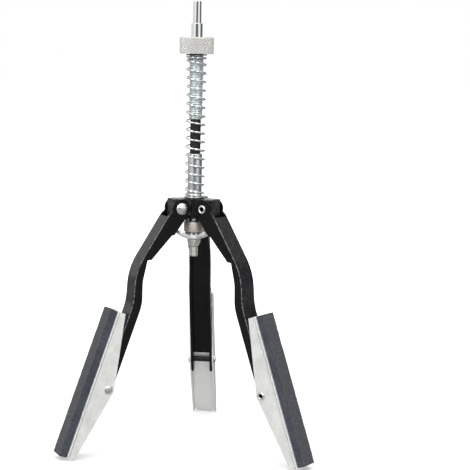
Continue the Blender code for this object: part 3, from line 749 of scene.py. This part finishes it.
def build_stack():
    collar = washer("bush_collar", STUD_BORE_RADIUS, 0.6 * MM)
    finished("collar_bronze", turned(collar, 80), "sintered_bronze", "shaft", ["bush_collar"])
    teeth = from_cad("tooth_washer")
    layer, _ = soften(teeth, sharp_edges(teeth), 0.15 * MM, 2)
    # Painted highlight on the outer tips; the rest takes the dark colour as painted shade
    for face in teeth.faces:
        reach = face.calc_center_median().to_2d().length
        face[layer] = 1.0 if reach > radius("tooth_washer") - 0.4 * MM else 0.1
    weighted(finished("washer_toothed", teeth, "zinc_plate", "shaft", ["tooth_washer"],
                      finish="tooth_steel"))
    plate = from_cad("expander_plate")
    # Painted highlight: the rounded edges are marked paler
    soften(plate, sharp_edges(plate, 40), 0.3 * MM, 3, 1.0)
    weighted(finished("plate_expander", plate, "zinc_plate", "shaft", ["expander_plate"],
                      finish="plate_zinc"))
    top, bottom = high("cone_nut"), low("cone_nut")
    wide = radius("cone_nut")
    e = 0.3 * MM
    cone = [(STUD_BORE_RADIUS, top)] + arc(wide - e, top - e, e, 90, 0, 3)
    cone += [(wide, top - CONE_COLLAR_HEIGHT), (CONE_TIP_RADIUS, bottom),
             (STUD_BORE_RADIUS, bottom)]
    finished("nut_cone", turned(cone, 64), "grey_steel", "shaft", ["cone_nut"])
    bit = from_cad("hex_end")
    # The rounded edges are painted dark as shade
    soften(bit, sharp_edges(bit), 0.18 * MM, 2, 1.0)
    weighted(finished("bit_hex", bit, "grey_steel", "shaft", ["hex_end"]))


def rivet(shank, head, head_height, end, seat, hollow):
    """A rivet along Z: a domed head above, a rolled hollow end below.

    shank, head, end and hollow are radii, and seat is half the width between its ends.
    """
    rim, lip_drop, hollow_depth = 0.3 * MM, 0.45 * MM, 3 * MM
    angles = [math.pi / 2 * i / 9 for i in range(9, -1, -1)]
    dome = [(head * math.cos(a), seat + rim + head_height * math.sin(a)) for a in angles]
    dome[0] = (0.0, dome[0][1])
    e = 0.05 * MM
    lip = arc((end + hollow) / 2, -seat - lip_drop, (end - hollow) / 2 - e, 0, -180, 8)
    profile = dome + [(head, seat), (shank, seat), (shank, -seat), (end - e, -seat)]
    profile += lip + [(hollow + e, -seat + hollow_depth - 0.4 * MM), (0.0, -seat + hollow_depth)]
    shape = turned(profile, 48)
    painted_shade = painted_light_layer(shape)
    for face in shape.faces:
        place = face.calc_center_median()
        if place.z < 0 and place.to_2d().length < hollow + 0.12 * MM:
            face[painted_shade] = 1.0           # painted shade inside the hollow end
        elif abs(place.z) < seat - 0.1 * MM:
            face[painted_shade] = 0.95          # painted shade on the shank
    return shape


# ---------------------------------------------------------------- legs

def bend_edges(shape, place, half_width):
    """The long edges of a folded sheet: a broad outer face meeting a side face."""
    inverse = place.inverted()
    turned_back = inverse.to_3x3()
    found = []
    for edge in shape.edges:
        if not edge.is_manifold:
            continue
        ends = [inverse @ v.co for v in edge.verts]
        inside = min(abs(p.y) for p in ends) < half_width - 0.05 * MM
        if inside or (ends[0] - ends[1]).length < 0.2 * MM:
            continue
        broad = 0
        for face in edge.link_faces:
            span = [(inverse @ v.co).y for v in face.verts]
            flat = abs((turned_back @ face.normal).y) < 0.1
            broad += flat and max(span) - min(span) > 1.9 * half_width
        if broad == 1:
            found.append(edge)
    return found


def build_arm(index):
    name = f"arm_{index + 1}"
    place = leg_place(index)
    shape = from_cad(name)
    layer, bends = soften(shape, bend_edges(shape, place, ARM_HALF), 1.7 * MM, 5)
    shape.normal_update()
    along_pins = place.to_3x3() @ Vector((0, 1, 0))
    for face in bends:
        lean = abs(face.normal.dot(along_pins))
        if 0.4 < lean < 0.92:           # painted highlight along the crest of the bend
            face[layer] = 1.0 if 0.6 < lean < 0.8 else 0.4
    # Painted highlights along the small rounded edges
    soften(shape, sharp_edges(shape), 0.16 * MM, 2, 0.55)
    mark_broad_faces(shape, place, 1, 0.1)      # painted light on the outer face
    weighted(finished(f"{name}_pressing", shape, "black_paint", f"leg_{index + 1}", [name]))


def build_shoe(index):
    number = index + 1
    body = f"shoe_{number}"
    place = shoe_place(index)
    shape = from_cad(f"stone_shoe_{number}")
    soften(shape, bend_edges(shape, place, SHOE_HALF), 0.85 * MM, 4)
    # Painted highlight: the small rounded edges are marked paler
    soften(shape, sharp_edges(shape), 0.14 * MM, 2, 1.0)
    mark_broad_faces(shape, place, -1, 0.8)     # painted light: the base's inner face is marked paler
    weighted(finished(f"shoe_{number}_folded", shape, "matt_zinc", body,
                      [f"stone_shoe_{number}"]))
    shape = from_cad(f"stone_backing_{number}")
    # Painted highlight: the rounded edges are marked paler
    soften(shape, sharp_edges(shape), 0.15 * MM, 2, 1.0)
    weighted(finished(f"backing_{number}_strip", shape, "backing_plate", body,
                      [f"stone_backing_{number}"]))


def stone_shape(seed):
    """An abrasive block: close grain in relief, its edges slightly worn and chipped."""
    shape = bmesh.new()
    bmesh.ops.create_cube(shape, size=1.0)
    sizes = Vector((STONE_THICKNESS, STONE_WIDTH, STONE_LENGTH))
    for axis, size in enumerate(sizes):
        cuts = [e for e in shape.edges
                if abs((e.verts[0].co - e.verts[1].co)[axis]) > 0.5]
        bmesh.ops.subdivide_edges(shape, edges=cuts, cuts=round(size / GRAIN_STEP) - 1,
                                  use_grid_fill=True)
    for vert in shape.verts:
        place = Vector((vert.co[a] * sizes[a] for a in range(3)))
        room = [sizes[a] / 2 - abs(place[a]) for a in range(3)]
        near = sorted(room)[1]
        grain = noise.noise(place * 2600 + Vector((seed, 0, 0)))
        grain += 0.6 * noise.noise(place * 900 + Vector((0, seed, 0)))
        inward = GRAIN_RELIEF * (grain + 1.0)
        if near < GRAIN_STEP * 0.6:
            chip = max(noise.noise(place * 260 + Vector((0, 0, seed))), 0.0)
            inward += STONE_WEAR * (0.3 + 0.6 * chip)
        facing = [math.copysign(1.0, place[a]) if room[a] < 1e-6 else 0.0 for a in range(3)]
        vert.co = place - Vector(facing) * inward
    # The working face takes painted light
    layer = painted_light_layer(shape)
    for face in shape.faces:
        working = face.calc_center_median().x > STONE_THICKNESS / 2 - GRAIN_STEP / 4
        face[layer] = 0.8 if working else 0.0
    shape.transform(Matrix.Translation((STONE_FACE - STONE_THICKNESS / 2, 0, 0)))
    return shape


def build_legs():
    along_pin = Matrix.Rotation(-math.pi / 2, 4, "X")
    for index in range(3):
        number = index + 1
        build_arm(index)
        build_shoe(index)
        finished(f"stone_{number}_block", stone_shape(17.0 * number), "abrasive_stone",
                 f"shoe_{number}", [f"stone_{number}"], shoe_place(index), sharp=60)
        hub_rivet = rivet(shank=2.2 * MM, head=4.0 * MM, head_height=1.7 * MM,
                          end=2.95 * MM, seat=ARM_HALF + GAP, hollow=1.4 * MM)
        finished(f"hub_rivet_{number}", hub_rivet, "bright_rivet", "hub",
                 [f"hub_pin_{number}"], leg_place(index) @ along_pin)
        shoe_rivet = rivet(shank=1.9 * MM, head=2.7 * MM, head_height=0.7 * MM,
                           end=2.6 * MM, seat=SHOE_HALF + GAP, hollow=1.2 * MM)
        finished(f"shoe_rivet_{number}", shoe_rivet, "bright_rivet", f"shoe_{number}",
                 [f"shoe_pin_{number}"], shoe_place(index) @ along_pin)


# ---------------------------------------------------------------- studio

CAMERA_AZIMUTH = 0.115
CAMERA_DISTANCE = 0.920
CAMERA_HEIGHT = -0.0325
CAMERA_YAW = -0.0849
CAMERA_PITCH = -0.1322
CAMERA_ROLL = 0.0195
CAMERA_LENS = 105.58


def build_camera():
    data = bpy.data.cameras.new("camera")
    data.lens = CAMERA_LENS
    data.sensor_width = 36.0
    data.clip_start = 0.01
    data.clip_end = 50.0
    camera = bpy.data.objects.new("camera", data)
    forward = Vector((math.sin(CAMERA_YAW) * math.cos(CAMERA_PITCH),
                      math.cos(CAMERA_YAW) * math.cos(CAMERA_PITCH), math.sin(CAMERA_PITCH)))
    right = Vector((math.cos(CAMERA_YAW), -math.sin(CAMERA_YAW), 0.0))
    up = right.cross(forward)
    across = right * math.cos(CAMERA_ROLL) + up * math.sin(CAMERA_ROLL)
    upward = up * math.cos(CAMERA_ROLL) - right * math.sin(CAMERA_ROLL)
    axes = Matrix((across, upward, -forward)).transposed()
    camera.matrix_world = axes.to_4x4()
    camera.location = (CAMERA_DISTANCE * math.sin(CAMERA_AZIMUTH),
                       -CAMERA_DISTANCE * math.cos(CAMERA_AZIMUTH), CAMERA_HEIGHT)
    bpy.context.scene.collection.objects.link(camera)
    bpy.context.scene.camera = camera


def build_world():
    """A pale light tent with two darker gaps, one behind the camera and one at the right."""
    world = bpy.data.worlds.new("studio")
    world.use_nodes = True
    bpy.context.scene.world = world
    tree = world.node_tree
    nodes, links = tree.nodes, tree.links
    background = nodes["Background"]
    direction = nodes.new("ShaderNodeTexCoord").outputs["Generated"]
    split = nodes.new("ShaderNodeSeparateXYZ")
    links.new(direction, split.inputs[0])
    back = nodes.new("ShaderNodeMath")
    back.operation = "MULTIPLY"
    back.inputs[1].default_value = -1.0
    links.new(split.outputs["Y"], back.inputs[0])
    # The bearing of a direction, from the front round to the right
    angle = nodes.new("ShaderNodeMath")
    angle.operation = "ARCTAN2"
    links.new(split.outputs["X"], angle.inputs[0])
    links.new(back.outputs[0], angle.inputs[1])
    share = nodes.new("ShaderNodeMapRange")
    share.inputs["From Min"].default_value = -math.pi
    share.inputs["From Max"].default_value = math.pi
    links.new(angle.outputs[0], share.inputs["Value"])
    ramp = nodes.new("ShaderNodeValToRGB")
    # Degrees to the right of the view from the front, and brightness there
    stops = [(-180, 0.80), (-75, 0.80), (-50, 1.05), (-24, 1.0), (-14, 0.16), (26, 0.16),
             (38, 1.1), (72, 1.1), (84, 0.14), (140, 0.14), (158, 0.85), (180, 0.80)]
    while len(ramp.color_ramp.elements) < len(stops):
        ramp.color_ramp.elements.new(0.5)
    for element, (degrees, light) in zip(ramp.color_ramp.elements, stops):
        element.position = (degrees + 180) / 360
        element.color = (light, light, light, 1.0)
    links.new(share.outputs["Result"], ramp.inputs["Fac"])
    ceiling = nodes.new("ShaderNodeMapRange")
    ceiling.inputs["From Min"].default_value = 0.35
    ceiling.inputs["From Max"].default_value = 0.6
    links.new(split.outputs["Z"], ceiling.inputs["Value"])
    tent = nodes.new("ShaderNodeMix")
    tent.data_type = "RGBA"
    tent.inputs[7].default_value = (1.0, 1.0, 1.0, 1.0)
    links.new(ceiling.outputs["Result"], tent.inputs[0])
    links.new(ramp.outputs["Color"], tent.inputs[6])
    # The camera itself sees an even white backdrop
    seen = nodes.new("ShaderNodeLightPath")
    shown = nodes.new("ShaderNodeMix")
    shown.data_type = "RGBA"
    shown.inputs[7].default_value = (1.0, 1.0, 1.0, 1.0)
    links.new(seen.outputs["Is Camera Ray"], shown.inputs[0])
    links.new(tent.outputs[2], shown.inputs[6])
    links.new(shown.outputs[2], background.inputs["Color"])
    bpy.context.scene.view_settings.view_transform = "Standard"


def build_floor():
    shape = bmesh.new()
    bmesh.ops.create_circle(shape, cap_ends=True, segments=96, radius=12.0)
    mesh = bpy.data.meshes.new("floor")
    shape.to_mesh(mesh)
    shape.free()
    mesh.materials.append(floor_white("floor_white"))
    floor = bpy.data.objects.new("floor", mesh)
    floor.location.z = cad_bounds[0].z - 0.2 * MM
    bpy.context.scene.collection.objects.link(floor)


def add_light(name, place, target, size, power, diffuse=True, glossy=True):
    data = bpy.data.lights.new(name, "AREA")
    data.shape = "RECTANGLE"
    data.size, data.size_y = size
    data.energy = power
    light = bpy.data.objects.new(name, data)
    light.visible_diffuse = diffuse
    light.visible_glossy = glossy
    light.location = place
    aim = Vector(target) - Vector(place)
    light.rotation_euler = aim.to_track_quat("-Z", "Y").to_euler()
    bpy.context.scene.collection.objects.link(light)


def build_lights():
    add_light("softbox_above", (0.1, -0.1, 1.1), (0, 0, -0.15), (1.2, 1.2), 6.0)
    add_light("fill_front", (0.12, -1.15, -0.24), (0, 0, -0.2), (0.9, 0.3), 14.5, glossy=False)
    add_light("fill_left", (-1.1, -0.35, 0.3), (0, 0, -0.18), (0.6, 0.6), 3.0, glossy=False)
    aim = Vector((0, 0, -0.16))
    for name, azimuth, height, width, power in (("strip_left", -37, 40, 0.45, 8.0),
                                                ("strip_right", 27, 40, 0.45, 8.0)):
        turn, lift = math.radians(azimuth), math.radians(height)
        reach = Vector((math.sin(turn) * math.cos(lift), -math.cos(turn) * math.cos(lift),
                        math.sin(lift)))
        add_light(name, aim + 1.3 * reach, aim, (width, 0.9), power, diffuse=False)


build_camera()
build_world()
build_floor()
build_lights()
build_shaft()
build_nut()
build_spring()
build_hub()
build_stack()
build_legs()
